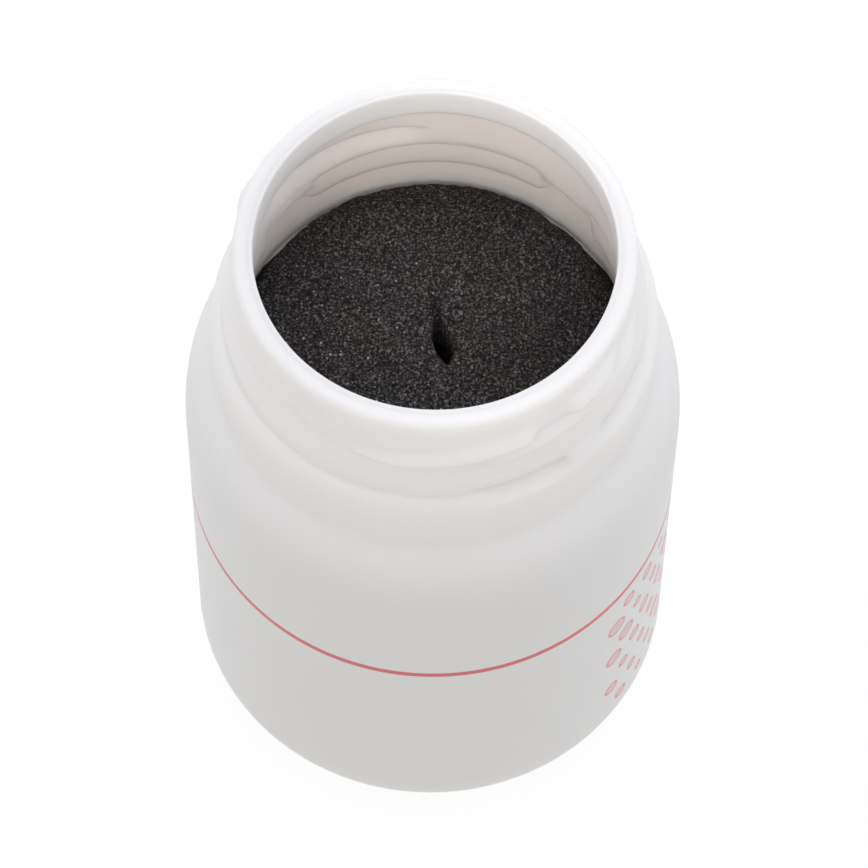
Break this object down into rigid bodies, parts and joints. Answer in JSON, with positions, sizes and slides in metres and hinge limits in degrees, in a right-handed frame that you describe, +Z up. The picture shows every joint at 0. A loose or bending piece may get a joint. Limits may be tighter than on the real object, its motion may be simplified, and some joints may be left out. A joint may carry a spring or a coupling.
{
  "type": "nail polish remover sponge jar",
  "caption": "Open wide-mouth white plastic jar with a screw neck and a rounded shoulder, filled with a dark foam sponge that has a slit for a finger.",
  "frame": {"origin": "centre of the base, on the surface that the jar stands on", "axes": "+Z up along the jar's axis, -Y towards the front of the jar, +X to its right as seen from the front"},
  "size_m": [0.05, 0.05, 0.074],
  "materials": {
    "jar_plastic": "satin",
    "sponge_foam": "matte"
  },
  "bodies": {
    "jar": {"jar": "jar_plastic"},
    "sponge": {"sponge": "sponge_foam"}
  },
  "joints": [
    {"name": "sponge_press", "type": "slide", "parent": "jar", "child": "sponge", "axis": [0, 0, 1], "range_m": [-0.012, 0], "stiffness_N_per_m": 400, "springref_m": 0.004, "deforming": ["sponge"]}
  ]
}
